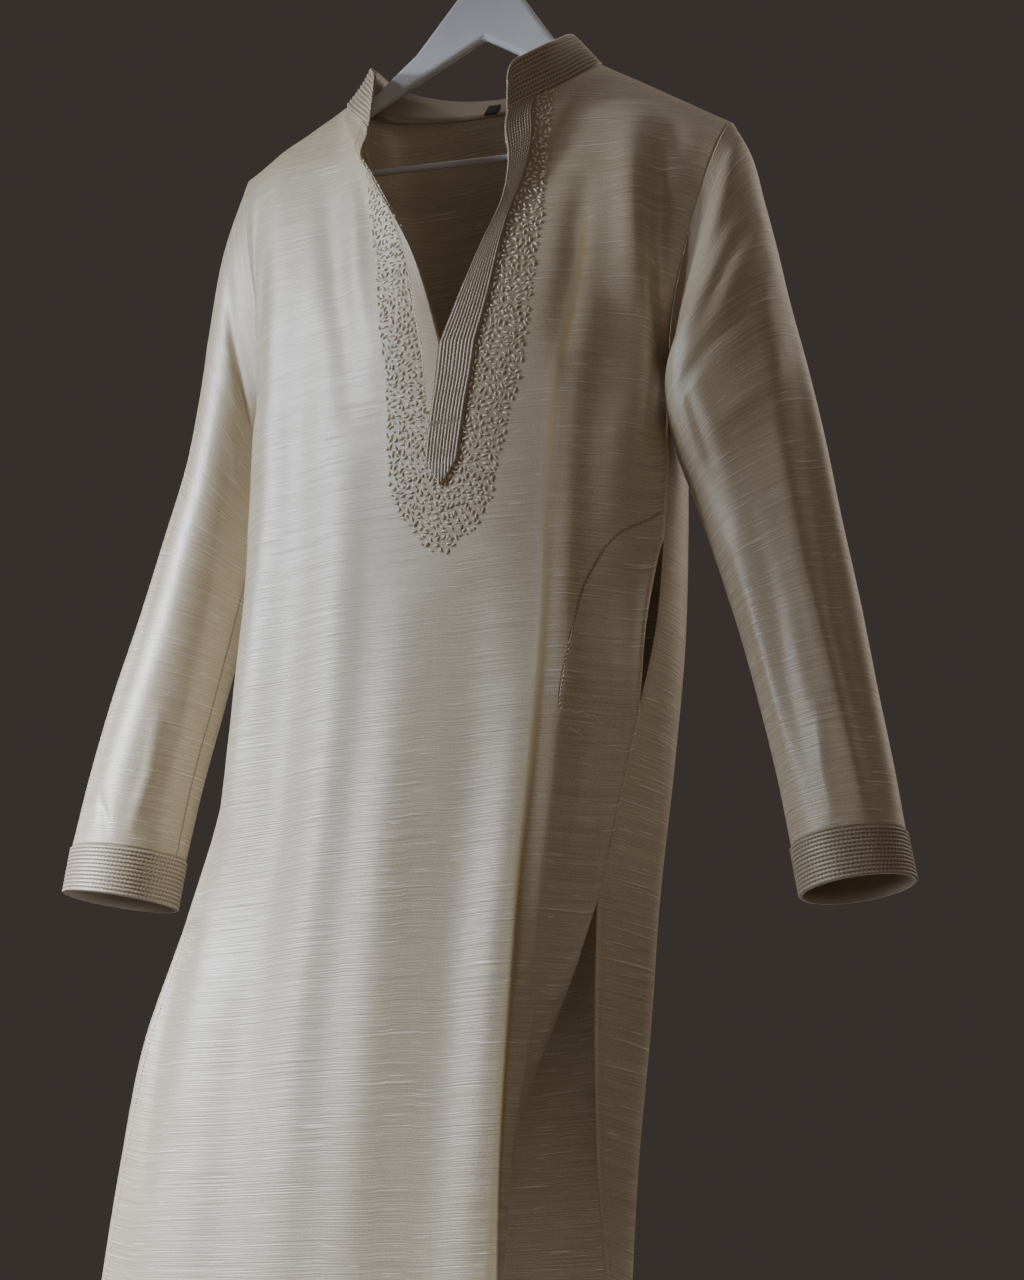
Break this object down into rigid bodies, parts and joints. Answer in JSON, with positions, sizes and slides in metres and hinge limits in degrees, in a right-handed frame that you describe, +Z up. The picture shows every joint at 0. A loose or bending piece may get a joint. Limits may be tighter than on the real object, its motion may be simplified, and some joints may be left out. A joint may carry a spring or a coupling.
{
  "type": "kurta tunic on a hanger",
  "caption": "Long-sleeved ivory raw-silk kurta tunic with a quilted band collar, placket and cuffs, open at the neck, hanging on a white hanger.",
  "frame": {"origin": "inside the top of the hanger's hook, where it rests on a rail", "axes": "+Z up, +X to the wearer's left, -Y to the wearer's front"},
  "size_m": [0.7159, 0.173, 1.2387],
  "materials": {
    "ivory_silk": "slubby raw silk, satin sheen",
    "quilted_silk": "raw silk, stitched in close rows",
    "black_ribbon": "plain woven label, blank",
    "white_lacquer": "smooth white",
    "bright_steel": "bright wire"
  },
  "bodies": {
    "root": {"front_panel": "ivory_silk", "back_panel": "ivory_silk", "sleeve_left": "ivory_silk", "sleeve_right": "ivory_silk", "under_placket": "ivory_silk", "pocket_bag": "ivory_silk", "collar_band": "quilted_silk", "placket_band": "quilted_silk", "cuff_left": "quilted_silk", "cuff_right": "quilted_silk", "neck_label": "black_ribbon", "hanger_body": "white_lacquer", "hanger_bar": "white_lacquer", "hanger_hook": "bright_steel"}
  },
  "joints": []
}
